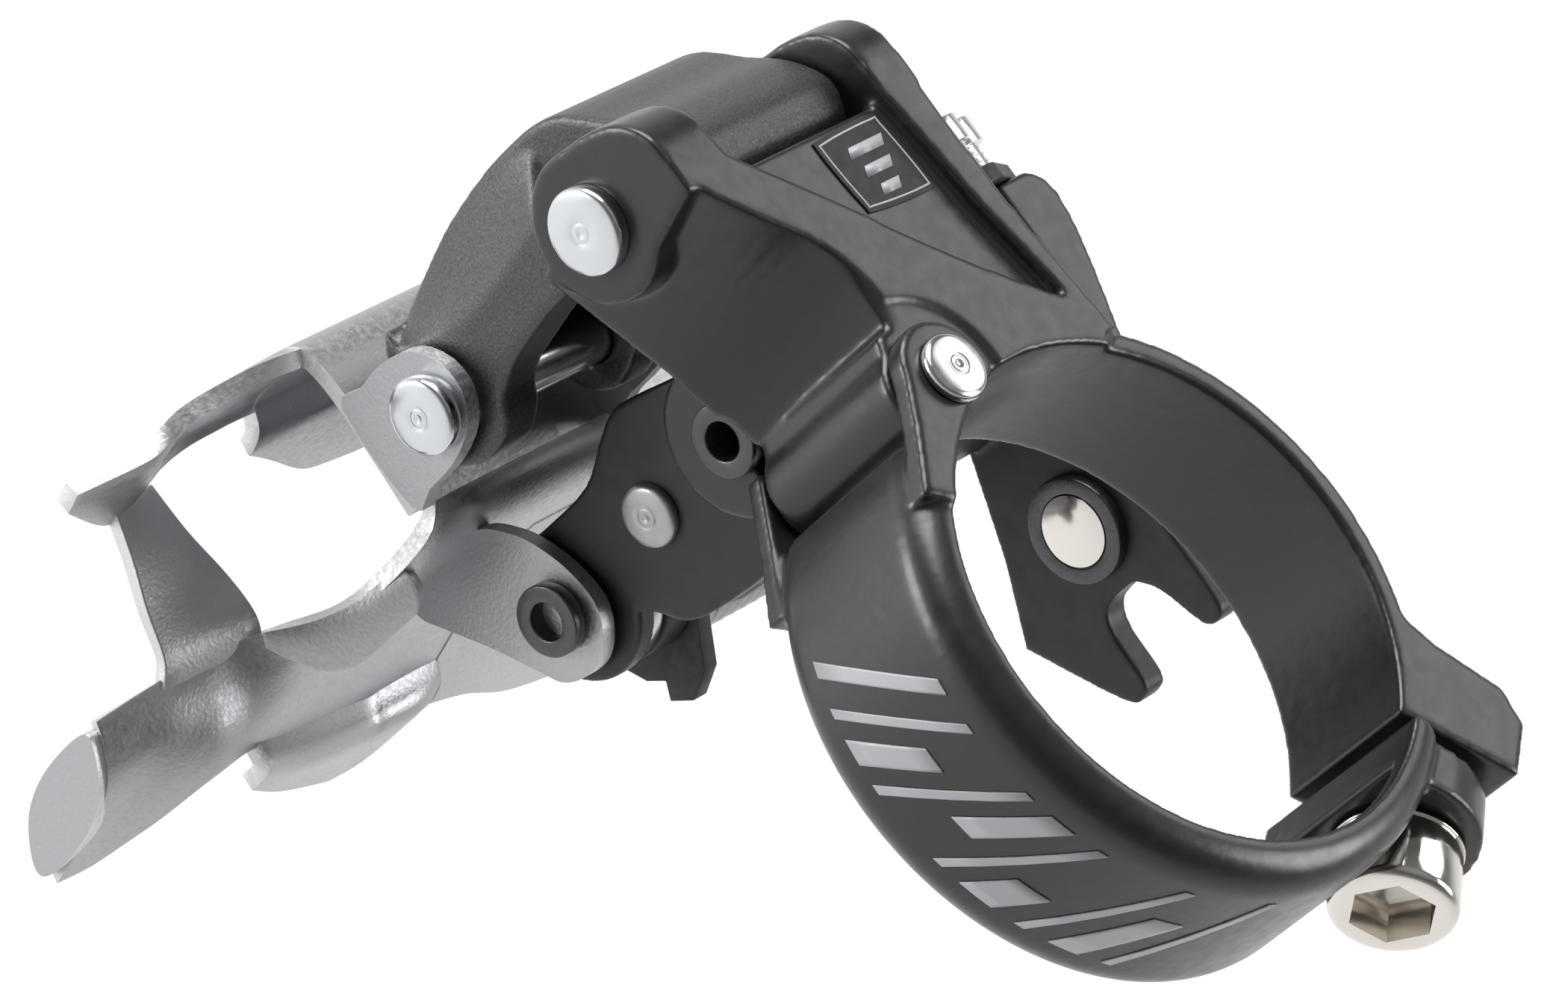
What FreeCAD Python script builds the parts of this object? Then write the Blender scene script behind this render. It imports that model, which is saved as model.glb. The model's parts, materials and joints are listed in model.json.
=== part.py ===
import FreeCAD, Part
import math
import os

os.makedirs("parts", exist_ok=True)
V = FreeCAD.Vector

# Frame: origin at the centre of the seat-tube clamp bore, +X bike forward, +Y left, +Z up.
# All lengths are millimetres.
BORE_R = 17.45              # 34.9 mm seat tube
FIXED_WALL_R = 19.05        # outside of the fixed clamp half
FIXED_HALF_Z = 5.84
BAND_R = 20.3               # outside of the swinging clamp band
BAND_TOP = 7.6
BAND_BOTTOM = -8.0
BAND_SKIN = 1.5

BOLT_ER = V(-0.6150, 0.7885, 0)     # from the bore centre towards the clamp bolt
BOLT_ES = V(0.7885, 0.6150, 0)      # along the clamp bolt, towards its head
BOLT_DIST = 22.08
BOLT_SHANK_R = 2.45
BOLT_HEAD_R = 4.15

HINGE_X, HINGE_Y = 7.2, -18.3       # clamp hinge pin, parallel to Z
HINGE_PIN_R = 1.5
KNUCKLE_R = 3.6
KNUCKLE_Z = (-7.0, 6.2)

# The four pivots of the parallelogram, parallel to X, as (y, z).
PIVOT_A = (-38.1, -1.6)     # body to outer link
PIVOT_B = (-37.0, -22.8)    # outer link to cage
PIVOT_C = (-24.3, -9.8)     # body to inner link
PIVOT_D = (-23.2, -31.0)    # inner link to cage
STAY_E = (-24.3, -20.8)     # rivet and spacer inside the inner link
PIN_A_R = 2.0
PIN_B_R = 1.9
HOLLOW_PIN_R = 2.1
HOLLOW_PIN_BORE = 1.3
PIVOT_GAP = 0.05            # radial running clearance at every moving pivot

DECK_TOP = 6.5
WEB_TOP = 5.3
DECK_UNDER = 4.4

CABLE_BOLT = (-9.5, -17.0)  # (y, z) of the cable bolt
ARM_X = (-25.5, -23.3)      # the fork end of the cable arm


def poly_x(points, x0, x1):
    """Prism with a (y, z) outline, from x0 to x1."""
    pts = [V(x0, y, z) for y, z in points]
    face = Part.Face(Part.makePolygon(pts + [pts[0]]))
    return face.extrude(V(x1 - x0, 0, 0))


def poly_y(points, y0, y1):
    """Prism with an (x, z) outline, from y0 to y1."""
    pts = [V(x, y0, z) for x, z in points]
    face = Part.Face(Part.makePolygon(pts + [pts[0]]))
    return face.extrude(V(0, y1 - y0, 0))


def poly_z(points, z0, z1):
    """Prism with an (x, y) outline, from z0 to z1."""
    pts = [V(x, y, z0) for x, y in points]
    face = Part.Face(Part.makePolygon(pts + [pts[0]]))
    return face.extrude(V(0, 0, z1 - z0))


def disc_x(centre, radius, x0, x1):
    return Part.makeCylinder(radius, x1 - x0, V(x0, centre[0], centre[1]), V(1, 0, 0))


def disc_y(x, z, radius, y0, y1):
    return Part.makeCylinder(radius, y1 - y0, V(x, y0, z), V(0, 1, 0))


def disc_z(x, y, radius, z0, z1):
    return Part.makeCylinder(radius, z1 - z0, V(x, y, z0), V(0, 0, 1))


def hexagon_x(centre, across_flats, x0, x1):
    r = across_flats / math.sqrt(3.0)
    pts = []
    for k in range(6):
        a = math.radians(60 * k)
        pts.append((centre[0] + r * math.cos(a), centre[1] + r * math.sin(a)))
    return poly_x(pts, x0, x1)


def bolt_point(r, s, z):
    """Point at radius r along BOLT_ER and s along BOLT_ES."""
    return BOLT_ER * r + BOLT_ES * s + V(0, 0, z)


def bolt_cylinder(radius, s0, s1):
    return Part.makeCylinder(radius, s1 - s0, bolt_point(BOLT_DIST, s0, 0), BOLT_ES)


def bolt_prism(points, z0, z1):
    """Prism with an (r, s) outline in the clamp bolt's frame."""
    pts = [bolt_point(r, s, z0) for r, s in points]
    face = Part.Face(Part.makePolygon(pts + [pts[0]]))
    return face.extrude(V(0, 0, z1 - z0))


def ring_sector(profile_face, a0, a1):
    """Turn a face drawn in the XZ half plane from azimuth a0 to a1 degrees."""
    face = profile_face.copy()
    face.rotate(V(0, 0, 0), V(0, 0, 1), a0)
    return face.revolve(V(0, 0, 0), V(0, 0, 1), a1 - a0)


def rect_face(r0, r1, z0, z1):
    pts = [V(r0, 0, z0), V(r1, 0, z0), V(r1, 0, z1), V(r0, 0, z1)]
    return Part.Face(Part.makePolygon(pts + [pts[0]]))


def skin(first, second):
    """Closed solid between two matching outlines, with flat triangular sides."""
    count = len(first)
    faces = [
        Part.Face(Part.makePolygon(first + [first[0]])),
        Part.Face(Part.makePolygon(second + [second[0]])),
    ]
    for i in range(count):
        j = (i + 1) % count
        for tri in ((first[i], first[j], second[j]), (first[i], second[j], second[i])):
            area = (tri[1] - tri[0]).cross(tri[2] - tri[0]).Length
            if area > 1e-6:
                faces.append(Part.Face(Part.makePolygon(list(tri) + [tri[0]])))
    solid = Part.Solid(Part.makeShell(faces))
    if solid.Volume < 0:
        solid.reverse()
    return solid


def strip(points, thickness, x0, x1):
    """Bent sheet: a (y, z) centre line given a thickness, from x0 to x1."""
    left, right = [], []
    for i, (y, z) in enumerate(points):
        y0, z0 = points[max(i - 1, 0)]
        y1, z1 = points[min(i + 1, len(points) - 1)]
        length = math.hypot(y1 - y0, z1 - z0)
        ny, nz = -(z1 - z0) / length, (y1 - y0) / length
        left.append((y + ny * thickness / 2, z + nz * thickness / 2))
        right.append((y - ny * thickness / 2, z - nz * thickness / 2))
    return poly_x(left + right[::-1], x0, x1)


def curve(points, steps=4, closed=False):
    """Smooth (Catmull-Rom) outline through the points, with that many steps a span."""
    count = len(points)
    out = []
    for i in range(count if closed else count - 1):
        if closed:
            p0, p1, p2, p3 = (points[(i + k) % count] for k in (-1, 0, 1, 2))
        else:
            p0, p1 = points[max(i - 1, 0)], points[i]
            p2, p3 = points[i + 1], points[min(i + 2, count - 1)]
        for k in range(steps):
            t = k / steps
            out.append(tuple(
                0.5 * (2 * b + (c - a) * t + (2 * a - 5 * b + 4 * c - d) * t * t
                       + (3 * b - a - 3 * c + d) * t ** 3)
                for a, b, c, d in zip(p0, p1, p2, p3)
            ))
    if not closed:
        out.append(tuple(points[-1]))
    return out


def sheet(stations, thickness):
    """Pressed sheet through (x, [(y, z), ...]) stations, half its thickness each side."""
    front, back = [], []
    for x, points in stations:
        above, below = [], []
        for i, (y, z) in enumerate(points):
            y0, z0 = points[max(i - 1, 0)]
            y1, z1 = points[min(i + 1, len(points) - 1)]
            length = math.hypot(y1 - y0, z1 - z0)
            ny = -(z1 - z0) / length * thickness / 2
            nz = (y1 - y0) / length * thickness / 2
            above.append(V(x, y + ny, z + nz))
            below.append(V(x, y - ny, z - nz))
        front.append(above)
        back.append(below)
    quads = []
    rows, cols = len(stations), len(stations[0][1])
    for i in range(rows - 1):
        for j in range(cols - 1):
            quads.append((front[i][j], front[i][j + 1], front[i + 1][j + 1], front[i + 1][j]))
            quads.append((back[i][j], back[i + 1][j], back[i + 1][j + 1], back[i][j + 1]))
        for j in (0, cols - 1):
            quads.append((front[i][j], back[i][j], back[i + 1][j], front[i + 1][j]))
    for i in (0, rows - 1):
        for j in range(cols - 1):
            quads.append((front[i][j], front[i][j + 1], back[i][j + 1], back[i][j]))
    faces = []
    for a, b, c, d in quads:
        for tri in ((a, b, c), (a, c, d)):
            faces.append(Part.Face(Part.makePolygon(list(tri) + [tri[0]])))
    solid = Part.Solid(Part.makeShell(faces))
    if solid.Volume < 0:
        solid.reverse()
    return solid


def fuse(shapes):
    out = shapes[0].multiFuse(shapes[1:]) if len(shapes) > 1 else shapes[0]
    return out.removeSplitter()


def save(shape, name):
    shape.exportStep("parts/" + name + ".step")
    print(name, round(shape.Volume, 1), "mm3", len(shape.Solids), "solid(s)", shape.isValid())


FRONT_PLATE_X = (3.6, 5.2)      # front plate of the inner link
CABLE_SHANK_R = 2.5
CABLE_NUT_R = 3.2               # threaded insert in the cable arm
PLATE_C_R = 4.1                 # its radius round pivot C
EAR_LOW_R = 2.6                 # lower hinge ear of the band, clear of that plate

# Body bracket ---------------------------------------------------------------

bore = disc_z(0, 0, BORE_R, -30, 30)
fixed_ring = ring_sector(rect_face(BORE_R, FIXED_WALL_R, -FIXED_HALF_Z, FIXED_HALF_Z), 131, 289)
bolt_ear = bolt_prism(
    [(16.5, -0.6), (26.8, -0.6), (27.0, -4.8), (25.1, -6.8), (19.7, -7.4), (16.0, -8.6)],
    -FIXED_HALF_Z,
    FIXED_HALF_Z,
)

near_arm_deck = poly_z(
    curve([(15.2, -37.6), (14.2, -35.4), (11.4, -32.3), (8.8, -29.7), (7.3, -27.3), (6.6, -25.0),
           (6.6, -22.0)])
    + [(0.8, -16.2), (-8.6, -15.0)]
    + curve([(-8.6, -18.6), (-4.2, -22.3), (0.4, -26.6), (4.5, -31.1), (9.9, -36.4), (10.5, -37.6)]),
    DECK_UNDER,
    DECK_TOP,
)
wall_back = [(6.0, -22.5), (6.2, -27.3), (10.5, -33.2), (10.5, -38.2)]
wall_top = [(15.2, -38.2)] + curve([(15.2, -37.6), (14.2, -35.4), (11.4, -32.3), (8.8, -29.7),
                                    (7.4, -27.3), (7.2, -25.0), (7.2, -22.5)], 3) + wall_back
wall_bottom = [(15.2, -38.2)] + curve([(15.2, -37.6), (13.9, -34.8), (12.3, -31.2), (11.2, -28.8),
                                       (10.6, -26.7), (9.6, -24.6), (8.6, -22.5)], 3) + wall_back
near_wall = skin(
    [V(x, y, DECK_TOP - 0.4) for x, y in wall_top],
    [V(x, y, -7.4) for x, y in wall_bottom],
)

lug_crown = curve([(-43.0, -0.6), (-42.6, 2.4), (-41.6, 4.8), (-39.8, 6.2), (-37.6, DECK_TOP),
                   (-35.6, DECK_TOP)])
near_lug = fuse([
    disc_x(PIVOT_A, 5.0, 10.5, 15.2),
    poly_x(lug_crown + [(-34.2, 1.0), (-35.0, -5.4), (-38.2, -4.0)], 10.5, 15.2),
])
web = poly_z(
    [(-5.2, -35.8), (10.2, -35.8), (5.2, -30.8), (0.9, -26.2), (-3.8, -21.8), (-8.8, -17.6),
     (-7.6, -22.3), (-6.5, -27.2), (-5.8, -32.5)],
    DECK_UNDER,
    WEB_TOP,
)
far_arm = poly_z(
    [(-4.8, -38.1), (-4.8, -36.2), (-5.4, -32.5), (-6.1, -27.2), (-7.2, -22.3), (-8.5, -16.0),
     (-9.9, -16.0), (-8.7, -25.1), (-8.5, -27.9), (-8.3, -33.0), (-8.3, -38.1)],
    -6.0,
    DECK_TOP,
)
far_lug = fuse([
    disc_x(PIVOT_A, 5.0, -8.5, -4.8),
    poly_x(lug_crown + [(-33.5, 1.0), (-35.0, -5.4), (-38.2, -4.0)], -8.5, -4.8),
])
far_block = poly_x([(-42.2, -2.0), (-42.2, 1.0), (-40.8, 3.4), (-37.4, 3.4), (-35.5, 0.0),
                    (-36.5, -5.0), (-40.5, -5.0)], -11.2, -8.4)
root_fill = poly_z(
    [(-9.9, -15.0), (-8.5, -25.1), (-6.6, -25.4), (0.0, -25.8), (6.2, -26.5), (6.2, -21.0),
     (6.6, -15.0)],
    -3.6,
    DECK_UNDER,
)
root_foot = poly_z([(-9.5, -15.0), (-9.5, -18.2), (6.5, -18.2), (6.5, -15.0)], -FIXED_HALF_Z, -3.5)
knuckle = disc_z(HINGE_X, HINGE_Y, KNUCKLE_R, KNUCKLE_Z[0], KNUCKLE_Z[1])
knuckle_bridge = poly_z([(3.4, -19.0), (6.2, -23.0), (8.6, -22.6), (10.4, -18.6), (7.0, -15.0),
                         (2.0, -15.0)], -6.8, KNUCKLE_Z[1])
c_lug = fuse([
    disc_x(PIVOT_C, 5.5, 5.5, 7.0),
    poly_x([(-29.0, -7.8), (-27.4, -2.0), (-21.0, -2.0), (-19.6, -6.6)], 5.5, 7.0),
])
rear_lobe = poly_z(
    [(-8.2, -28.2)]
    + curve([(-15.2, -28.2), (-16.5, -26.8), (-16.3, -24.0), (-15.0, -20.0), (-13.6, -16.4), (-12.4, -12.6)])
    + [(-9.0, -15.0)],
    -3.4,
    3.6,
)
rear_lug = fuse([
    disc_x(PIVOT_C, 5.0, -13.5, -10.5),
    poly_x([(-28.2, -6.8), (-28.2, -2.0), (-19.3, -2.0), (-19.3, -9.0)], -13.5, -10.5),
])
rear_web = poly_z([(-8.3, -28.2), (-8.4, -19.0), (-13.5, -19.0), (-13.5, -28.2)], -6.0, -3.0)

body = fuse([fixed_ring, bolt_ear, near_arm_deck, near_wall, near_lug, web, far_arm, far_lug,
             far_block, root_fill, root_foot, knuckle, knuckle_bridge, c_lug, rear_lobe, rear_lug,
             rear_web])

LIMIT_SCREWS = ((-10.7, 2.6), (-14.5, 0.2))    # (x, z) of the two limit screws, parallel to Y
SCREW_R = 1.45
body_cuts = [
    bore,
    disc_x(PIVOT_A, PIN_A_R, -13, 16),
    disc_x(PIVOT_C, HOLLOW_PIN_R, -14, 8),
    disc_x(PIVOT_C, 2.75, 7.0, 14.0),
    disc_z(HINGE_X, HINGE_Y, HINGE_PIN_R, -10, 10),
    disc_z(HINGE_X, HINGE_Y, 6.1, KNUCKLE_Z[1], 9.0),
    disc_z(HINGE_X, HINGE_Y, 4.1, -9.8, KNUCKLE_Z[0]),
    disc_x(PIVOT_C, PLATE_C_R + 0.4, FRONT_PLATE_X[0] - 0.4, FRONT_PLATE_X[1] + 0.3),
    bolt_cylinder(BOLT_SHANK_R + PIVOT_GAP, -12, 2),
]
for x, z in LIMIT_SCREWS:
    body_cuts.append(disc_y(x, z, SCREW_R + PIVOT_GAP, -32, -18.8))
for cutter in body_cuts:
    body = body.cut(cutter)
body = body.removeSplitter()
save(body, "body_bracket")

# Raised round label on the web -----------------------------------------------

label_outline = curve([(-3.8, -35.4), (1.5, -35.3), (2.2, -34.6), (1.7, -30.4), (1.0, -29.7),
                       (-4.2, -29.4), (-4.9, -30.1), (-4.4, -34.8)], closed=True)
save(poly_z(label_outline, WEB_TOP, WEB_TOP + 0.15), "top_label")

# Pins held by the body --------------------------------------------------------

pin_a = fuse([
    disc_x(PIVOT_A, PIN_A_R, -11.9, 15.2),
    disc_x(PIVOT_A, 2.84, 15.2, 16.4),
])
pin_a = pin_a.makeFillet(0.35, [e for e in pin_a.Edges if abs(e.BoundBox.XMin - 16.4) < 0.01])
save(pin_a, "outer_link_pin")


def hollow_pin(centre, x0, x1, head_r, head_x):
    pin = fuse([
        disc_x(centre, HOLLOW_PIN_R, x0, x1),
        disc_x(centre, head_r, head_x, x1),
    ])
    return pin.cut(disc_x(centre, HOLLOW_PIN_BORE, x0 - 1, x1 + 1))


save(hollow_pin(PIVOT_C, -16.4, 8.0, 2.45, 7.0), "inner_link_pin")

# Limit screws -----------------------------------------------------------------

plate = fuse([
    disc_y(LIMIT_SCREWS[0][0], LIMIT_SCREWS[0][1], 2.3, -29.4, -28.2),
    disc_y(LIMIT_SCREWS[1][0], LIMIT_SCREWS[1][1], 2.3, -29.4, -28.2),
    poly_y([(-11.8, 4.6), (-15.6, 2.2), (-13.4, -1.8), (-9.6, 0.6)], -29.4, -28.2),
])
for x, z in LIMIT_SCREWS:
    plate = plate.cut(disc_y(x, z, SCREW_R + PIVOT_GAP, -30, -28))
save(plate.cut(poly_x([(-30, -8), (-28, -8), (-28, 8), (-30, 8)], -9.0, 0)), "limit_screw_plate")
for name, (x, z) in zip(("limit_screw_low", "limit_screw_high"), LIMIT_SCREWS):
    screw = fuse([
        disc_y(x, z, SCREW_R, -31.6, -19.2),
        disc_y(x, z, 2.0, -33.4, -31.6),
    ])
    slot = Part.makeBox(0.5, 0.8, 2.6, V(x - 0.25, -33.4, z - 1.3))
    cross = Part.makeBox(2.6, 0.8, 0.5, V(x - 1.3, -33.4, z - 0.25))
    save(screw.cut(slot).cut(cross), name)

# Clamp band -------------------------------------------------------------------

shoulder = 2.6
outer_pts = [V(BORE_R, 0, BAND_BOTTOM), V(BAND_R - shoulder, 0, BAND_BOTTOM),
             V(BAND_R, 0, BAND_BOTTOM + shoulder), V(BAND_R, 0, BAND_TOP - shoulder),
             V(BAND_R - shoulder, 0, BAND_TOP), V(BORE_R, 0, BAND_TOP)]
inner_r = BAND_R - BAND_SKIN
inner_top = BAND_TOP - BAND_SKIN
inner_bottom = BAND_BOTTOM + BAND_SKIN
bend = shoulder - BAND_SKIN


def arc(p0, centre, radius, angle, p1):
    mid = centre + V(math.cos(angle), 0, math.sin(angle)) * radius
    return Part.Arc(p0, mid, p1).toShape()


low_c = V(BAND_R - shoulder, 0, BAND_BOTTOM + shoulder)
high_c = V(BAND_R - shoulder, 0, BAND_TOP - shoulder)
inner_pts = [V(BORE_R, 0, inner_top), V(inner_r - bend, 0, inner_top),
             V(inner_r, 0, inner_top - bend), V(inner_r, 0, inner_bottom + bend),
             V(inner_r - bend, 0, inner_bottom), V(BORE_R, 0, inner_bottom)]
band_edges = [
    Part.makeLine(outer_pts[0], outer_pts[1]),
    arc(outer_pts[1], low_c, shoulder, -math.pi / 4, outer_pts[2]),
    Part.makeLine(outer_pts[2], outer_pts[3]),
    arc(outer_pts[3], high_c, shoulder, math.pi / 4, outer_pts[4]),
    Part.makeLine(outer_pts[4], outer_pts[5]),
    Part.makeLine(outer_pts[5], inner_pts[0]),
    Part.makeLine(inner_pts[0], inner_pts[1]),
    arc(inner_pts[1], high_c, bend, math.pi / 4, inner_pts[2]),
    Part.makeLine(inner_pts[2], inner_pts[3]),
    arc(inner_pts[3], low_c, bend, -math.pi / 4, inner_pts[4]),
    Part.makeLine(inner_pts[4], inner_pts[5]),
    Part.makeLine(inner_pts[5], outer_pts[0]),
]
band_face = Part.Face(Part.Wire(band_edges))
band = ring_sector(band_face, -53, 128)

EAR_TOP_Z = (6.5, 8.1)
EAR_LOW_Z = (-8.8, -7.3)
ear_neck = [(7.0, -20.4), (9.6, -21.0), (12.6, -16.4), (15.5, -12.5), (13.0, -11.0), (9.0, -14.8)]
ears = []
for (z0, z1), ear_r in ((EAR_TOP_Z, KNUCKLE_R), (EAR_LOW_Z, EAR_LOW_R)):
    ears.append(fuse([
        disc_z(HINGE_X, HINGE_Y, ear_r, z0, z1),
        poly_z(ear_neck, z0, z1),
    ]).cut(disc_z(HINGE_X, HINGE_Y, HINGE_PIN_R + PIVOT_GAP, z0 - 1, z1 + 1)))

EAR_S = (0.6, 4.1)
loop_plate = bolt_prism([(17.0, EAR_S[0]), (27.1, EAR_S[0]), (27.1, EAR_S[1]), (17.0, EAR_S[1])], -6.2, 6.2)
loop_round = Part.makeCylinder(6.2, EAR_S[1] - EAR_S[0], bolt_point(20.9, EAR_S[0], 0), BOLT_ES)
loop_plate = loop_plate.common(fuse([
    loop_round,
    bolt_prism([(15.0, EAR_S[0]), (20.9, EAR_S[0]), (20.9, EAR_S[1]), (15.0, EAR_S[1])], -6.2, 6.2),
]))
band = fuse([band, ears[0], ears[1], loop_plate])
band_cuts = [
    bore,
    bolt_prism([(14, EAR_S[0]), (32, EAR_S[0]), (32, -9), (14, -9)], -12, 12),
    bolt_cylinder(BOLT_HEAD_R + 1.1, EAR_S[1], 14),
    bolt_cylinder(BOLT_SHANK_R + 0.8, 0, 5),
    disc_z(HINGE_X, HINGE_Y, KNUCKLE_R + 0.35, KNUCKLE_Z[0] - 0.3, KNUCKLE_Z[1] + 0.3),
]
for cutter in band_cuts:
    band = band.cut(cutter)
save(band.removeSplitter(), "clamp_band")

# Printed stripes on the band, kept as a thin inlay on its outer face.
decals = []
for a0, a1, z0, z1 in ((14, 26, -3.4, 3.0), (30, 38, -3.4, 3.0), (42, 62, -1.4, 1.0)):
    decals.append(ring_sector(rect_face(BAND_R, BAND_R + 0.08, z0, z1), a0, a1))
save(Part.makeCompound(decals), "band_decal")

# Clamp hinge pin
hinge_pin = fuse([
    disc_z(HINGE_X, HINGE_Y, HINGE_PIN_R, -9.4, 8.15),
    disc_z(HINGE_X, HINGE_Y, 2.3, 8.15, 9.0),
    disc_z(HINGE_X, HINGE_Y, 2.0, -9.4, -8.85),
])
save(hinge_pin, "clamp_hinge_pin")

# Clamp bolt and washer
washer = bolt_cylinder(BOLT_HEAD_R + 0.1, 4.4, 4.7).cut(bolt_cylinder(BOLT_SHANK_R, 4, 5))
save(washer, "clamp_bolt_washer")
head = bolt_cylinder(BOLT_HEAD_R, 4.7, 9.5)
head = head.makeFillet(0.7, [max(head.Edges, key=lambda e: e.CenterOfMass.dot(BOLT_ES) if e.Closed else -99)])
bolt = fuse([head, bolt_cylinder(BOLT_SHANK_R, -9.4, 4.8)])
socket_r = 5.0 / math.sqrt(3.0)
socket_pts = []
socket_u = V(0, 0, 1)
for k in range(6):
    a = math.radians(60 * k)
    socket_pts.append(bolt_point(BOLT_DIST, 6.5, 0) + BOLT_ER * (socket_r * math.cos(a))
                      + socket_u * (socket_r * math.sin(a)))
socket = Part.Face(Part.makePolygon(socket_pts + [socket_pts[0]])).extrude(BOLT_ES * 4.0)
save(bolt.cut(socket), "clamp_bolt")

# Outer link ---------------------------------------------------------------------

shell_outer = [(-42.3, -26.6), (-42.7, -25.7), (-44.6, -20.4), (-46.0, -15.3), (-46.7, -9.2),
               (-46.2, -4.0), (-43.4, -0.2), (-41.4, 2.4), (-38.6, 4.2), (-35.6, 3.0), (-33.5, 0.2)]
shell_inner = [(-33.5, -3.0), (-35.4, -5.2), (-38.0, -6.6), (-41.2, -7.2), (-42.9, -9.2), (-43.6, -13.0),
               (-42.8, -18.4), (-40.9, -23.8), (-40.3, -25.9)]
shell = poly_x(curve(shell_outer) + curve(shell_inner), -4.5, 10.2)
hub_a = disc_x(PIVOT_A, 4.6, -4.5, 10.2)
leg_outline = [(-43.4, -24.2), (-41.4, -23.4), (-40.1, -18.6), (-40.8, -12.6), (-41.4, -7.9),
               (-37.4, -7.9), (-36.8, -12.4), (-36.0, -17.0), (-34.6, -19.6), (-33.2, -21.4),
               (-33.0, -24.4), (-34.6, -26.4), (-37.0, -27.1), (-40.2, -26.4)]
front_leg = poly_x(curve(leg_outline, closed=True), 8.6, 12.2)
front_web = poly_x(
    curve([(-42.7, -25.7), (-44.6, -20.4), (-46.0, -15.3), (-46.5, -9.2), (-46.0, -5.0)])
    + curve([(-37.0, -6.0), (-36.9, -12.4), (-36.2, -17.0), (-36.0, -22.0), (-38.0, -26.0)]),
    7.8,
    10.2,
)
rear_leg = poly_x(
    curve([(-42.7, -25.7), (-44.6, -20.4), (-46.0, -15.3), (-46.5, -9.2), (-45.5, -4.0)])
    + curve([(-36.0, -4.0), (-36.4, -12.0), (-34.2, -19.5), (-33.2, -22.8), (-35.0, -26.2)]),
    -4.5,
    -1.6,
)
chamfer_outer = curve([(-43.6, -23.4), (-44.9, -19.4), (-46.1, -14.4), (-46.4, -8.8), (-45.7, -6.4)])
chamfer_inner = curve([(-41.6, -23.6), (-40.6, -19.4), (-40.6, -15.2), (-41.2, -10.6), (-41.9, -7.9)])
chamfer = skin(
    [V(10.1, y, z) for y, z in chamfer_outer + [(-40.8, -6.8), (-40.4, -19.0)]],
    [V(12.1, y, z) for y, z in chamfer_inner + [(-40.8, -7.9), (-40.1, -18.6)]],
)
outer_link = fuse([shell, hub_a, front_leg, front_web, rear_leg, chamfer,
                   disc_x(PIVOT_B, 4.3, 8.6, 12.2), disc_x(PIVOT_B, 3.9, -4.5, -1.6)])
outer_link = outer_link.cut(disc_x(PIVOT_A, PIN_A_R + PIVOT_GAP, -6, 16))
outer_link = outer_link.cut(disc_x(PIVOT_B, PIN_B_R + PIVOT_GAP, -6, 16))
save(outer_link.removeSplitter(), "outer_link")

# Inner link ---------------------------------------------------------------------

REAR_PLATE_X = (-16.0, -13.9)
front_plate = fuse([
    disc_x(PIVOT_C, PLATE_C_R, *FRONT_PLATE_X),
    disc_x(PIVOT_D, 5.2, *FRONT_PLATE_X),
    poly_x(curve([(-26.4, -7.6), (-29.2, -11.0), (-30.4, -15.0), (-31.0, -18.4), (-30.2, -20.8),
                  (-28.5, -24.5),
                  (-28.3, -30.0)])
           + curve([(-23.2, -30.0), (-19.4, -25.6), (-17.6, -23.6), (-16.9, -20.0), (-16.7, -15.4),
                    (-17.6, -12.4), (-20.4, -9.0)]), *FRONT_PLATE_X),
])
lower_flange = strip([(-16.9, -15.4), (-17.3, -20.0), (-18.2, -23.8), (-19.8, -25.1)], 1.2, -7.0, 3.7)
front_plate = fuse([front_plate, lower_flange])
for centre, radius in ((PIVOT_C, HOLLOW_PIN_R + PIVOT_GAP), (PIVOT_D, HOLLOW_PIN_R + PIVOT_GAP),
                       (STAY_E, 1.5)):
    front_plate = front_plate.cut(disc_x(centre, radius, 2, 7))
save(front_plate.removeSplitter(), "inner_link_plate")

barrel = disc_x(PIVOT_C, 3.5, -10.2, FRONT_PLATE_X[0])
save(barrel.cut(disc_x(PIVOT_C, HOLLOW_PIN_R + PIVOT_GAP, -11, 4)), "inner_link_barrel")
stay = disc_x(STAY_E, 2.5, REAR_PLATE_X[1], FRONT_PLATE_X[0]).cut(disc_x(STAY_E, 1.5, -17, 6))
save(stay, "inner_link_stay")
rivet = fuse([
    disc_x(STAY_E, 1.5, REAR_PLATE_X[0], FRONT_PLATE_X[1]),
    disc_x(STAY_E, 2.14, FRONT_PLATE_X[1], 6.0),
    disc_x(STAY_E, 2.14, REAR_PLATE_X[0] - 0.7, REAR_PLATE_X[0]),
])
save(rivet, "inner_link_rivet")

arm_rear = fuse([
    disc_x(PIVOT_C, 4.6, *REAR_PLATE_X),
    disc_x(PIVOT_D, 4.6, *REAR_PLATE_X),
    poly_x([(-28.9, -9.8), (-28.6, -22.0), (-27.8, -31.0), (-18.6, -31.0), (-18.0, -20.5),
            (-17.8, -11.0), (-19.7, -9.8)], *REAR_PLATE_X),
])
arm_jog = poly_z([(REAR_PLATE_X[0], -20.0), (REAR_PLATE_X[1], -20.0), (REAR_PLATE_X[1], -17.8),
                  (-23.4, -17.8), (-25.5, -17.8), (-25.5, -20.0)], -20.4, -11.0)
slot_upper = curve([(-2.4, -11.1), (0.2, -11.3), (0.9, -12.2), (0.4, -13.4), (-3.0, -14.7), (-4.6, -16.2)])
slot_lower = curve([(-4.6, -18.0), (-4.2, -19.4), (-2.6, -20.2), (1.0, -20.4), (1.8, -21.4), (1.0, -22.9),
                    (-5.6, -27.2)])
arm_fork = poly_x([(-20.0, -12.0), (-20.0, -11.0)] + slot_upper + slot_lower
                  + [(-11.0, -24.2), (-20.0, -20.4)],
                  *ARM_X)
arm = fuse([arm_rear, arm_jog, arm_fork])
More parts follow.
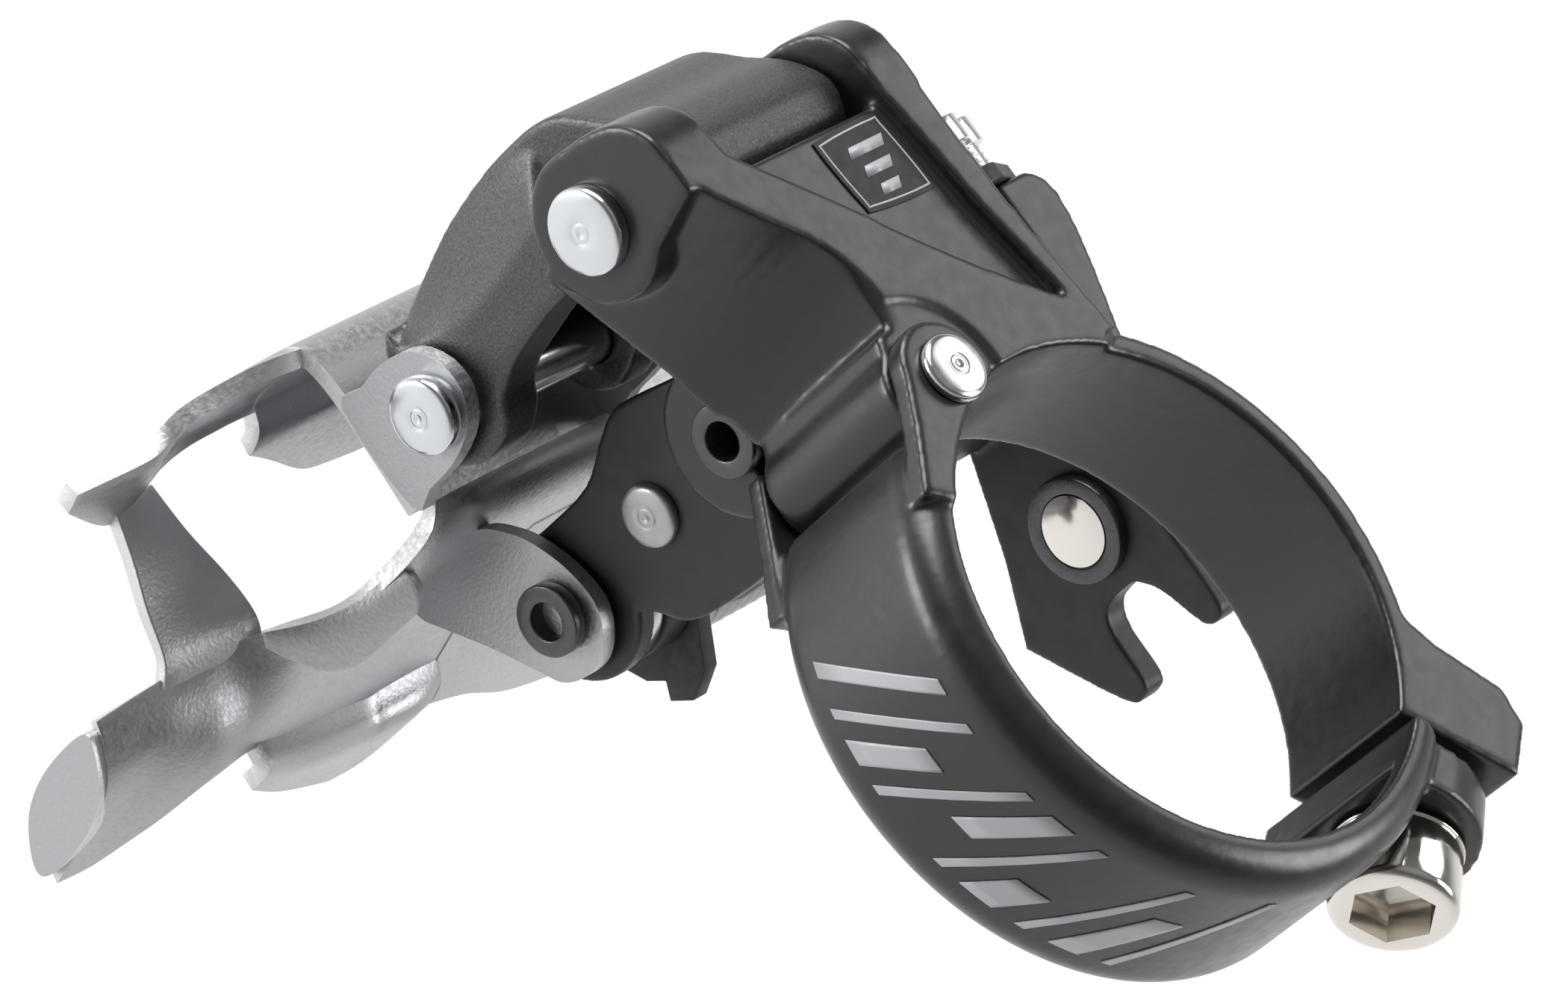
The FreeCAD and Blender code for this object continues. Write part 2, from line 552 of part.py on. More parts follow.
for centre, radius in ((PIVOT_C, HOLLOW_PIN_R + PIVOT_GAP), (PIVOT_D, HOLLOW_PIN_R + PIVOT_GAP),
                       (STAY_E, 1.5), (CABLE_BOLT, CABLE_NUT_R)):
    arm = arm.cut(disc_x(centre, radius, -27, -12))
save(arm.removeSplitter(), "cable_arm")

# Cable bolt, washer and nut
cable_washer = disc_x(CABLE_BOLT, 4.0, -27.0, -26.0).cut(disc_x(CABLE_BOLT, CABLE_SHANK_R, -28, -25))
save(cable_washer, "cable_washer")
cable_bolt = fuse([
    disc_x(CABLE_BOLT, CABLE_SHANK_R, -27.4, -22.4),
    hexagon_x(CABLE_BOLT, 8.0, -30.4, -27.0),
])
save(cable_bolt, "cable_bolt")
cable_nut = fuse([
    disc_x(CABLE_BOLT, CABLE_NUT_R, *ARM_X),
    disc_x(CABLE_BOLT, 3.7, ARM_X[1], ARM_X[1] + 0.9),
]).cut(disc_x(CABLE_BOLT, CABLE_SHANK_R + PIVOT_GAP, -30, -20))
save(cable_nut, "cable_nut")

# Spring pack on the lower inner pivot ---------------------------------------------

SLEEVE_R = 3.6
sleeve = disc_x(PIVOT_D, SLEEVE_R, REAR_PLATE_X[1], FRONT_PLATE_X[0])
sleeve = sleeve.cut(disc_x(PIVOT_D, HOLLOW_PIN_R + PIVOT_GAP, -15, 5))
save(sleeve, "spring_sleeve")
end_washer = disc_x(PIVOT_D, 4.8, 2.2, 3.4).cut(disc_x(PIVOT_D, SLEEVE_R, 0, 5))
save(end_washer, "spring_washer")
collar = disc_x(PIVOT_D, 5.0, -0.6, 2.0).cut(disc_x(PIVOT_D, SLEEVE_R, -2, 5))
save(collar, "spring_collar")
hook = fuse([
    disc_x(PIVOT_D, 5.4, -2.2, -0.8),
    poly_x([(-24.0, -36.2), (-19.6, -37.0), (-17.4, -35.6), (-16.6, -34.2), (-15.4, -34.9),
            (-14.4, -33.1), (-15.4, -30.8), (-18.4, -28.6)], -2.2, -0.8),
]).cut(disc_x(PIVOT_D, SLEEVE_R, -4, 2))
save(hook, "spring_hook")

WIRE_R = 0.55
COIL_R = 4.75
COIL_PITCH = 1.3
COIL_COUNT = 9
COIL_END_X = -13.3
rings = []
for k in range(COIL_COUNT):
    centre = V(COIL_END_X + COIL_PITCH * k, PIVOT_D[0], PIVOT_D[1])
    rings.append(Part.makeTorus(COIL_R, WIRE_R, centre, V(1, 0, 0)))
tie = disc_x((PIVOT_D[0], PIVOT_D[1] - COIL_R), WIRE_R * 0.8,
             COIL_END_X, COIL_END_X + COIL_PITCH * (COIL_COUNT - 1))
coil = fuse(rings + [tie])
save(coil, "return_spring")

# Cage -------------------------------------------------------------------------------

SHEET = 1.2
EAR_B_X = (12.5, 14.3)
EAR_D_X = (5.5, 7.3)
REAR_B_X = (-6.8, -5.0)
REAR_D_X = (-18.4, -16.9)
ear_b_outline = [(-41.6, -29.4), (-41.3, -26.9), (-41.6, -24.2), (-40.8, -21.1), (-38.6, -19.4),
                 (-35.9, -19.7), (-34.4, -20.9), (-33.3, -23.9), (-33.2, -29.0), (-33.2, -29.8)]
ear_b = poly_x(curve(ear_b_outline[:8], 3) + ear_b_outline[8:], *EAR_B_X)
rear_ear_b = poly_x([(-42.6, -29.4), (-41.2, -21.6), (-38.6, -18.9), (-35.6, -18.9), (-33.2, -21.4),
                     (-32.6, -26.0), (-33.2, -29.8)], *REAR_B_X)
# The outer plate: a channel with a roof in the middle, a nose in front and a flat tail.
channel = [(-33.2, -29.6), (-38.0, -29.3), (-42.6, -29.2), (-45.4, -29.8), (-46.4, -31.4), (-46.4, -34.4),
           (-45.8, -36.2), (-44.4, -37.2)]
channel_low = ((-16.0, -52.4), (-8.4, -51.9), (-3.5, -50.9), (-0.7, -49.9), (2.7, -47.5), (8.0, -43.2),
               (14.3, -38.6))
roof = sheet([(x, channel + [(-43.9, -38.4), (-43.9, z)]) for x, z in channel_low], SHEET)
nose_stations = [
    (13.6, [(-45.4, -29.8), (-46.4, -31.4), (-46.4, -33.4), (-46.3, -35.4), (-45.6, -36.6)]),
    (17.0, [(-45.9, -30.8), (-46.4, -32.2), (-46.4, -33.6), (-46.3, -35.4), (-45.6, -36.6)]),
    (21.0, [(-46.3, -33.2), (-46.3, -34.2), (-46.2, -35.2), (-46.0, -36.2), (-45.4, -37.4)]),
    (22.4, [(-45.6, -35.8), (-45.4, -36.6), (-45.2, -37.6), (-45.0, -39.0), (-44.7, -42.6)]),
    (24.4, [(-45.4, -35.8), (-45.3, -36.6), (-45.2, -37.4), (-45.0, -38.6), (-44.7, -42.2)]),
    (30.0, [(-45.9, -36.8), (-45.8, -37.2), (-45.7, -37.6), (-45.6, -38.0), (-45.5, -38.5)]),
]
outer_nose = sheet(nose_stations, SHEET - 0.1)
tail_top = ((-70.5, -72.5), (-56.0, -60.6), (-40.0, -49.6), (-26.0, -42.4), (-15.8, -38.4))
tail_low = ((-70.5, -76.0), (-64.0, -79.0), (-50.0, -67.0), (-36.0, -58.6), (-15.8, -52.4))
outer_tail = poly_y(list(tail_top) + list(tail_low)[::-1], -44.45, -43.35)
outer_plate = roof.multiFuse([outer_tail, outer_nose, ear_b, rear_ear_b])
outer_plate = outer_plate.cut(disc_x(PIVOT_B, PIN_B_R, -8, 16))

# The inner plate hangs from the roof, flares out to the nose and steps inboard below its crease.
slope = [(-33.2, -29.6), (-32.0, -31.4), (-31.2, -34.0)]
inner_main = sheet([
    (-4.5, slope + [(-31.2, -38.0), (-31.2, -42.0), (-30.6, -46.0), (-29.6, -50.0), (-28.8, -53.0)]),
    (4.4, slope + [(-31.2, -38.0), (-31.2, -42.0), (-30.6, -46.0), (-29.6, -50.0), (-28.7, -54.0)]),
    (10.0, slope + [(-31.2, -37.6), (-31.2, -41.2), (-30.6, -45.0), (-29.6, -49.0), (-28.6, -52.6)]),
    (12.2, [(-32.0, -32.2), (-31.5, -33.2), (-31.2, -34.4), (-31.2, -37.4), (-31.4, -40.4),
            (-30.9, -44.2), (-29.7, -48.0), (-28.6, -51.6)]),
], SHEET)
flare = sheet([
    (12.0, [(-31.2, -34.4), (-31.2, -37.4), (-31.3, -40.6), (-30.9, -44.2), (-29.7, -48.0), (-28.6, -51.6)]),
    (14.6, [(-31.6, -40.2), (-31.5, -41.4), (-31.3, -43.0), (-30.6, -45.6), (-29.6, -48.2), (-28.6, -50.4)]),
    (16.4, [(-33.7, -43.2), (-32.8, -43.8), (-31.9, -44.6), (-30.8, -46.0), (-29.7, -47.8), (-28.6, -49.6)]),
    (20.4, [(-34.3, -45.4), (-33.2, -45.7), (-32.0, -46.1), (-30.8, -46.7), (-29.7, -47.6), (-28.6, -48.6)]),
    (24.4, [(-34.4, -46.6), (-32.8, -46.8), (-31.0, -47.4), (-29.4, -48.5), (-28.2, -50.0), (-27.4, -52.2)]),
    (27.0, [(-34.4, -47.8), (-32.6, -48.4), (-30.9, -50.0), (-29.7, -52.4), (-28.9, -55.2), (-28.4, -58.6)]),
    (29.0, [(-34.4, -49.0), (-32.4, -50.0), (-30.6, -51.8), (-29.6, -54.2), (-29.1, -57.6), (-28.9, -60.6)]),
], SHEET)
step_panel = sheet([
    (-1.8, [(-28.8, -53.6), (-27.8, -54.0), (-26.6, -54.4), (-26.6, -54.9), (-26.6, -55.4)]),
    (-0.9, [(-28.8, -53.6), (-27.8, -54.0), (-26.6, -54.6), (-26.6, -57.6), (-26.6, -60.8)]),
    (2.0, [(-28.8, -53.8), (-27.8, -54.2), (-26.6, -54.8), (-26.6, -58.4), (-26.6, -62.0)]),
    (4.4, [(-28.7, -53.8), (-27.8, -54.3), (-26.6, -55.0), (-26.6, -58.0), (-26.6, -61.0)]),
    (12.2, [(-28.6, -51.4), (-27.8, -51.8), (-26.6, -52.4), (-26.6, -54.2), (-26.6, -56.2)]),
    (20.2, [(-28.6, -48.4), (-27.8, -48.5), (-26.6, -48.7), (-26.6, -49.8), (-26.6, -51.1)]),
], SHEET)
inner_rear = sheet([
    (-3.4, [(-31.2, -38.6), (-31.2, -42.0), (-30.6, -46.0), (-29.6, -50.0), (-28.8, -52.6), (-27.4, -56.0)]),
    (-11.0, [(-31.2, -38.0), (-31.2, -42.0), (-30.6, -46.0), (-29.6, -50.0), (-28.6, -55.0),
             (-27.2, -61.0)]),
    (-20.9, [(-31.2, -38.6), (-30.9, -43.0), (-30.0, -48.0), (-28.8, -54.0), (-27.8, -61.0),
             (-27.2, -67.6)]),
    (-29.0, [(-30.6, -42.4), (-30.0, -47.0), (-28.9, -52.6), (-27.8, -59.0), (-27.4, -65.6),
             (-27.2, -71.4)]),
], SHEET - 0.14)
inner_tail = poly_y(
    [(-28.6, -42.6), (-40.0, -50.5), (-56.0, -61.4), (-70.5, -73.0), (-70.5, -77.0), (-64.0, -81.0),
     (-52.0, -78.6), (-40.0, -75.0), (-28.6, -71.2)],
    -27.8,
    -26.6,
)
tail_neck = sheet([
    (-28.6, [(-30.6, -42.4), (-30.0, -47.0), (-28.9, -52.6), (-27.8, -59.0)]),
    (-34.0, [(-29.4, -46.2), (-28.9, -50.0), (-28.0, -54.6), (-27.3, -59.0)]),
    (-40.0, [(-27.4, -50.6), (-27.3, -53.0), (-27.2, -56.0), (-27.2, -59.0)]),
], SHEET)
ear_d_outline = [(-31.8, -35.4), (-29.9, -31.4), (-28.6, -29.0), (-26.4, -27.9), (-24.1, -27.4),
                 (-20.9, -27.9), (-19.3, -29.9), (-19.4, -33.2), (-20.8, -35.2), (-23.4, -36.2),
                 (-27.0, -38.4), (-30.4, -41.2)]
ear_d = poly_x(curve(ear_d_outline, 3) + [(-31.8, -40.4)], *EAR_D_X)
ear_d = ear_d.common(fuse([
    poly_x([(-32, -24), (-26.2, -24), (-26.2, -42), (-32, -42)], *EAR_D_X),
    disc_x((-24.4, -31.9), 5.3, *EAR_D_X),
]))
rear_ear_d = fuse([
    disc_x(PIVOT_D, 4.3, *REAR_D_X),
    poly_x([(-31.2, -42.0), (-31.2, -36.0), (-26.0, -27.8), (-20.0, -33.6), (-26.0, -42.0)],
           *REAR_D_X),
])
nose_lip = poly_x([(-34.4, -50.4), (-34.0, -54.6), (-32.8, -57.8), (-30.6, -60.2), (-29.0, -60.8),
                   (-28.4, -59.6), (-29.0, -54.4), (-30.2, -51.4), (-32.0, -49.4), (-34.2, -48.6)],
                  28.6, 29.8)
inner_plate = inner_main.multiFuse([flare, step_panel, inner_rear, inner_tail, tail_neck, ear_d,
                                    rear_ear_d, nose_lip])
inner_plate = inner_plate.cut(disc_x(PIVOT_D, HOLLOW_PIN_R, -20, 9))
inner_plate = inner_plate.cut(roof).cut(ear_b)

bridge = skin(
    [V(18.9, -45.0, -41.8), V(22.2, -45.0, -41.8), V(22.2, -45.0, -42.9), V(18.9, -45.0, -42.9)],
    [V(16.6, -34.2, -43.8), V(24.6, -33.8, -45.6), V(24.6, -33.8, -46.7), V(16.6, -34.2, -44.9)],
)

TAIL_X, TAIL_Z = -67.0, -76.0
TAIL_SCREW_R = 1.95
for_tail = disc_y(TAIL_X, TAIL_Z, TAIL_SCREW_R, -50, -20)
save(outer_plate.cut(bridge).cut(for_tail), "cage_outer_plate")
save(inner_plate.cut(bridge).cut(for_tail), "cage_inner_plate")
save(bridge, "cage_nose_bridge")
spacer = disc_y(TAIL_X, TAIL_Z, 3.0, -43.3, -27.8).cut(disc_y(TAIL_X, TAIL_Z, TAIL_SCREW_R, -50, -20))
save(spacer, "cage_tail_spacer")
tail_screw = fuse([
    disc_y(TAIL_X, TAIL_Z, TAIL_SCREW_R, -45.4, -26.6),
    disc_y(TAIL_X, TAIL_Z, 3.4, -26.6, -24.8),
])
tail_hex = [(TAIL_X + 1.5 * math.cos(math.radians(60 * k)), TAIL_Z + 1.5 * math.sin(math.radians(60 * k)))
            for k in range(6)]
save(tail_screw.cut(poly_y(tail_hex, -26.0, -24.0)), "cage_tail_screw")

pin_b = fuse([
    disc_x(PIVOT_B, PIN_B_R, -7.4, EAR_B_X[1]),
    disc_x(PIVOT_B, 2.6, EAR_B_X[1], 15.5),
])
pin_b = pin_b.makeFillet(0.35, [e for e in pin_b.Edges if abs(e.BoundBox.XMin - 15.5) < 0.01])
save(pin_b, "cage_outer_pin")
save(hollow_pin(PIVOT_D, REAR_D_X[0] - 0.3, 8.3, 2.45, EAR_D_X[1]), "cage_inner_pin")
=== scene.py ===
import json
import math

import bmesh
import bpy
from mathutils import Matrix, Vector

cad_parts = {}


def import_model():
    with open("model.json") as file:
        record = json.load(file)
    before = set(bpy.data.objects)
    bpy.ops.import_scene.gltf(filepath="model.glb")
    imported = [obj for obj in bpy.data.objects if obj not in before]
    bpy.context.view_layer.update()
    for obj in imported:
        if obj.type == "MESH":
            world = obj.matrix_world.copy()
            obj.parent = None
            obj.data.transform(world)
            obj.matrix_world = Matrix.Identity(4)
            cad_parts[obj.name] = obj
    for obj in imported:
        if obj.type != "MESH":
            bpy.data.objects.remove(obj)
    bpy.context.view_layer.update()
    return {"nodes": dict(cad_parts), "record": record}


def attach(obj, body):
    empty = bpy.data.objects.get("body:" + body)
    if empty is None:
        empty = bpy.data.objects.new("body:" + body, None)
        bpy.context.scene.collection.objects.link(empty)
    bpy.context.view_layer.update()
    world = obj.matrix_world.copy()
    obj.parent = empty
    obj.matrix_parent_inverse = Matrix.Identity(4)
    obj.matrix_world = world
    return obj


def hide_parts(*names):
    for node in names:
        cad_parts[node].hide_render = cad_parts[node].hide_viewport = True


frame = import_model()
nodes = frame["nodes"]
node_body = {n: b for b, members in frame["record"]["behaviour"]["bodies"].items() for n in members}

MM = 0.001
WELD_DISTANCE = 0.002 * MM
SHADER = "Principled BSDF"
NOISE_BAND = (0.3, 0.7)  # the middle of the noise's range carries the whole change


# Materials --------------------------------------------------------------------

def new_material(name, colour, metallic, roughness, coat=0.0, coat_roughness=0.1):
    mat = bpy.data.materials.new(name)
    mat.use_nodes = True
    bsdf = mat.node_tree.nodes[SHADER]
    bsdf.inputs["Base Color"].default_value = (*colour, 1)
    bsdf.inputs["Metallic"].default_value = metallic
    bsdf.inputs["Roughness"].default_value = roughness
    bsdf.inputs["Coat Weight"].default_value = coat
    bsdf.inputs["Coat Roughness"].default_value = coat_roughness
    return mat


def noise(mat, scale, detail=3.0):
    """Object-space noise texture; scale is in cells per metre."""
    tree = mat.node_tree
    coords = tree.nodes.new("ShaderNodeTexCoord")
    tex = tree.nodes.new("ShaderNodeTexNoise")
    tex.inputs["Scale"].default_value = scale
    tex.inputs["Detail"].default_value = detail
    tree.links.new(coords.outputs["Object"], tex.inputs["Vector"])
    return tex


def add_bump(mat, tex, strength, distance):
    """Let a noise texture raise the surface; distance is in metres."""
    tree = mat.node_tree
    bump = tree.nodes.new("ShaderNodeBump")
    bump.inputs["Strength"].default_value = strength
    bump.inputs["Distance"].default_value = distance
    tree.links.new(tex.outputs["Fac"], bump.inputs["Height"])
    tree.links.new(bump.outputs["Normal"], tree.nodes[SHADER].inputs["Normal"])


def vary(mat, tex, socket, low, high):
    """Let a noise texture move a socket between two values or two colours."""
    tree = mat.node_tree
    ramp = tree.nodes.new("ShaderNodeValToRGB")
    for element, position, value in zip(ramp.color_ramp.elements, NOISE_BAND, (low, high)):
        element.position = position
        element.color = (*value, 1) if isinstance(value, tuple) else (value, value, value, 1)
    tree.links.new(tex.outputs["Fac"], ramp.inputs["Fac"])
    tree.links.new(ramp.outputs["Color"], tree.nodes[SHADER].inputs[socket])


def black_paint():
    mat = new_material("black_paint", (0.012, 0.012, 0.013), 0.0, 0.34, coat=0.25, coat_roughness=0.22)
    vary(mat, noise(mat, 900), "Roughness", 0.30, 0.40)
    add_bump(mat, noise(mat, 1400, 2.0), 0.10, 0.0002)
    return mat


def link_paint():
    mat = new_material("link_paint", (0.014, 0.014, 0.015), 0.0, 0.45)
    vary(mat, noise(mat, 700), "Roughness", 0.40, 0.52)
    add_bump(mat, noise(mat, 2500, 2.0), 0.08, 0.0001)
    return mat


def grey_cast():
    mat = new_material("grey_cast", (0.085, 0.085, 0.09), 0.75, 0.42)
    vary(mat, noise(mat, 6000, 2.0), "Base Color", (0.060, 0.060, 0.064), (0.115, 0.115, 0.120))
    add_bump(mat, noise(mat, 5200, 3.0), 0.30, 0.0001)
    return mat


def cage_steel():
    mat = new_material("cage_steel", (0.43, 0.435, 0.45), 1.0, 0.40)
    vary(mat, noise(mat, 2600, 4.0), "Roughness", 0.36, 0.50)
    add_bump(mat, noise(mat, 3600, 3.0), 0.30, 0.0001)
    return mat


def cut_edge():
    mat = new_material("cut_edge", (0.62, 0.62, 0.63), 1.0, 0.44)
    vary(mat, noise(mat, 2200, 4.0), "Roughness", 0.36, 0.56)
    add_bump(mat, noise(mat, 4200, 3.0), 0.30, 0.0001)
    return mat


def zinc():
    mat = new_material("zinc", (0.66, 0.68, 0.70), 1.0, 0.20)
    vary(mat, noise(mat, 900, 5.0), "Roughness", 0.14, 0.28)
    add_bump(mat, noise(mat, 1500, 4.0), 0.05, 0.0001)
    return mat


def dull_zinc():
    mat = new_material("dull_zinc", (0.42, 0.43, 0.43), 0.9, 0.38)
    vary(mat, noise(mat, 1800, 4.0), "Roughness", 0.30, 0.50)
    add_bump(mat, noise(mat, 2500, 4.0), 0.15, 0.0001)
    return mat


def nickel():
    mat = new_material("nickel", (0.74, 0.71, 0.66), 1.0, 0.12)
    vary(mat, noise(mat, 700, 3.0), "Roughness", 0.08, 0.18)
    return mat


def dark_steel():
    mat = new_material("dark_steel", (0.10, 0.10, 0.105), 0.9, 0.33)
    vary(mat, noise(mat, 2600, 4.0), "Roughness", 0.25, 0.45)
    add_bump(mat, noise(mat, 3500, 4.0), 0.2, 0.0001)
    return mat


def black_plastic():
    mat = new_material("black_plastic", (0.012, 0.012, 0.012), 0.0, 0.5)
    vary(mat, noise(mat, 1500), "Roughness", 0.44, 0.58)
    add_bump(mat, noise(mat, 3000, 2.0), 0.10, 0.0001)
    return mat


def spring_steel():
    mat = new_material("spring_steel", (0.30, 0.30, 0.31), 1.0, 0.30)
    vary(mat, noise(mat, 2600, 3.0), "Roughness", 0.22, 0.38)
    return mat


def label_base():
    mat = new_material("label_base", (0.008, 0.008, 0.009), 0.0, 0.50)
    vary(mat, noise(mat, 1200), "Roughness", 0.44, 0.56)
    return mat


def label_ink():
    mat = new_material("label_ink", (0.40, 0.41, 0.43), 0.0, 0.35)
    vary(mat, noise(mat, 1800), "Roughness", 0.30, 0.42)
    return mat


MATS = {
    "black_paint": black_paint(),
    "link_paint": link_paint(),
    "grey_cast": grey_cast(),
    "cage_steel": cage_steel(),
    "cut_edge": cut_edge(),
    "zinc_pin": zinc(),
    "dull_zinc": dull_zinc(),
    "nickel": nickel(),
    "dark_steel": dark_steel(),
    "black_plastic": black_plastic(),
    "label_ink": label_ink(),
    "label_base": label_base(),
    "spring_steel": spring_steel(),
}


# Mesh helpers -------------------------------------------------------------------

CRISP_BEVEL, CRISP_ANGLE = 0.12, 40
SHEET_BEVEL, SHEET_ANGLE = 0.16, 50


def paint(obj, key):
    obj.data.materials.clear()
    obj.data.materials.append(MATS[key])


def link(obj):
    bpy.context.scene.collection.objects.link(obj)
    return obj


def add_weld(piece):
    weld = piece.modifiers.new("weld", "WELD")
    weld.merge_threshold = WELD_DISTANCE


def add_bevel(piece, width, degrees):
    """Round the edges sharper than that angle; width is in millimetres."""
    bevel = piece.modifiers.new("bevel", "BEVEL")
    bevel.width = width * MM
    bevel.segments = 2
    bevel.limit_method = "ANGLE"
    bevel.angle_limit = math.radians(degrees)


def weight_normals(piece):
    normals = piece.modifiers.new("normals", "WEIGHTED_NORMAL")
    normals.keep_sharp = True


def shade_smooth(mesh):
    for face in mesh.polygons:
        face.use_smooth = True


def stand_in(piece, node, key):
    """Paint a copy of a CAD node and let it take the node's place."""
    shade_smooth(piece.data)
    paint(piece, key)
    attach(piece, node_body[node])
    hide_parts(node)


def baked(obj):
    """The object's mesh with its modifiers applied."""
    graph = bpy.context.evaluated_depsgraph_get()
    graph.update()
    return bpy.data.meshes.new_from_object(obj.evaluated_get(graph))


def softened(node, key, voxel, rounds):
    """A cast or pressed copy of a CAD node: same shape, edges rounded off. Voxel is in millimetres."""
    work = link(bpy.data.objects.new(node + "_work", nodes[node].data.copy()))
    add_weld(work)
    remesh = work.modifiers.new("remesh", "REMESH")
    remesh.mode = "VOXEL"
    remesh.voxel_size = voxel * MM
    smooth = work.modifiers.new("smooth", "SMOOTH")
    smooth.factor = 0.5
    smooth.iterations = rounds
    piece = link(bpy.data.objects.new(node + "_skin", baked(work)))
    bpy.data.objects.remove(work)
    stand_in(piece, node, key)


def crisp(node, key):
    """A turned or plated copy of a CAD node, with small bevels on its edges."""
    piece = link(bpy.data.objects.new(node + "_finish", nodes[node].data.copy()))
    add_weld(piece)
    add_bevel(piece, CRISP_BEVEL, CRISP_ANGLE)
    stand_in(piece, node, key)


def between(p0, p1, p2, p3, t):
    """Catmull-Rom point between p1 and p2."""
    return tuple(
        0.5 * (2 * b + (c - a) * t + (2 * a - 5 * b + 4 * c - d) * t * t + (3 * b - a - 3 * c + d) * t ** 3)
        for a, b, c, d in zip(p0, p1, p2, p3)
    )


def curve(points, steps, closed=False):
    """Smooth curve through the points, with that many steps a span."""
    count = len(points)
    spans = count if closed else count - 1
    out = []
    for i in range(spans):
        if closed:
            p0, p1, p2, p3 = (points[(i + k) % count] for k in (-1, 0, 1, 2))
        else:
            p0, p1 = points[max(i - 1, 0)], points[i]
            p2, p3 = points[i + 1], points[min(i + 2, count - 1)]
        out.extend(between(p0, p1, p2, p3, k / steps) for k in range(steps))
    if not closed:
        out.append(tuple(points[-1]))
    return out


def add_surface(bm, stations, along=5, across=4):
    """Pressed surface through (x, [(y, z), ...]) stations, in millimetres."""
    rows = [[(x, y, z) for y, z in curve(points, across)] for x, points in stations]
    columns = [curve(list(column), along) for column in zip(*rows)]
    grid = [[bm.verts.new(Vector(p) * MM) for p in column] for column in columns]
    for left, right in zip(grid, grid[1:]):
        for i in range(len(left) - 1):
            bm.faces.new((left[i], left[i + 1], right[i + 1], right[i]))


def add_plate(bm, outline, axis, level, steps=4):
    """Flat plate with a smooth outline; axis 0 gives (y, z) outlines, axis 1 gives (x, z)."""
    verts = []
    for a, b in curve(outline, steps, closed=True):
        place = (level, a, b) if axis == 0 else (a, level, b)
        verts.append(bm.verts.new(Vector(place) * MM))
    bm.faces.new(verts)


def sheet_piece(name, bm, thickness, node):
    """Give a pressed cage part its thickness, its cut edges and its place in the assembly."""
    mesh = bpy.data.meshes.new(name)
    bm.to_mesh(mesh)
    bm.free()
    piece = link(bpy.data.objects.new(name, mesh))
    mesh.materials.append(MATS["cage_steel"])
    mesh.materials.append(MATS["cut_edge"])
    solid = piece.modifiers.new("solid", "SOLIDIFY")
    solid.thickness = thickness * MM
    solid.offset = 0
    solid.use_even_offset = True
    solid.material_offset_rim = 1
    add_bevel(piece, SHEET_BEVEL, SHEET_ANGLE)
    shade_smooth(mesh)
    weight_normals(piece)
    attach(piece, "cage")
    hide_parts(node)


# The cage ----------------------------------------------------------------------------

PLATE_THICKNESS, BRIDGE_THICKNESS = 1.2, 1.1
OUTER_PLATE_Y = -43.9
OUTER_EARS_X = (13.4, -5.9)
INNER_EARS_X = (6.4, -17.65)
NOSE_END_X = 29.2


def cage_outer():
    """Outer plate: channel over the pivots, nose, flat tail and the two ears of the outer pin."""
    bm = bmesh.new()
    channel = [(-33.2, -29.6), (-38.0, -29.3), (-42.6, -29.2), (-45.4, -29.8), (-46.25, -31.4),
               (-46.25, -34.4), (-45.8, -36.2), (-44.4, -37.2)]
    lower = ((-16.0, -52.4), (-8.4, -51.9), (-3.5, -50.9), (-0.7, -49.9), (2.7, -47.5), (8.0, -43.2),
             (13.7, -38.8))
    add_surface(bm, [(x, channel + [(OUTER_PLATE_Y, -38.4), (OUTER_PLATE_Y, z)]) for x, z in lower])
    # The nose, from the channel's front end.
    add_surface(bm, [
        (13.7, [(-45.4, -29.8), (-46.25, -31.4), (-46.25, -33.4), (-46.2, -35.4), (-45.6, -36.6)]),
        (17.0, [(-45.9, -30.8), (-46.25, -32.2), (-46.25, -33.6), (-46.2, -35.4), (-45.6, -36.6)]),
        (21.0, [(-46.2, -33.2), (-46.2, -34.2), (-46.2, -35.2), (-46.0, -36.2), (-45.4, -37.4)]),
        (22.6, [(-45.9, -34.9), (-45.7, -35.8), (-45.4, -37.0), (-45.1, -38.8), (-44.8, -42.2)]),
        (24.6, [(-45.6, -35.7), (-45.3, -36.6), (-45.2, -37.4), (-45.0, -38.6), (-44.7, -42.2)]),
        (29.9, [(-45.9, -36.8), (-45.8, -37.2), (-45.7, -37.6), (-45.6, -38.0), (-45.5, -38.5)]),
    ])
    tail = [(-69.2, -73.0), (-56.0, -61.2), (-40.0, -50.2), (-26.0, -43.0), (-15.8, -38.6),
            (-15.8, -52.2), (-36.0, -58.2), (-50.0, -66.8), (-63.6, -78.2), (-69.2, -75.6)]
    add_plate(bm, tail, 1, OUTER_PLATE_Y, 3)
    ear = [(-41.2, -29.2), (-41.3, -26.9), (-41.5, -24.2), (-40.8, -21.4), (-38.8, -19.8),
           (-36.6, -19.7), (-34.7, -21.2), (-33.7, -23.9), (-33.5, -27.0), (-33.4, -29.2)]
    add_plate(bm, ear, 0, OUTER_EARS_X[0], 3)
    ear = [(-42.4, -29.2), (-41.2, -21.8), (-38.6, -19.3), (-35.6, -19.3), (-33.4, -21.6),
           (-33.0, -26.0), (-33.4, -29.2)]
    add_plate(bm, ear, 0, OUTER_EARS_X[1], 3)
    sheet_piece("cage_outer_sheet", bm, PLATE_THICKNESS, "cage_outer_plate")


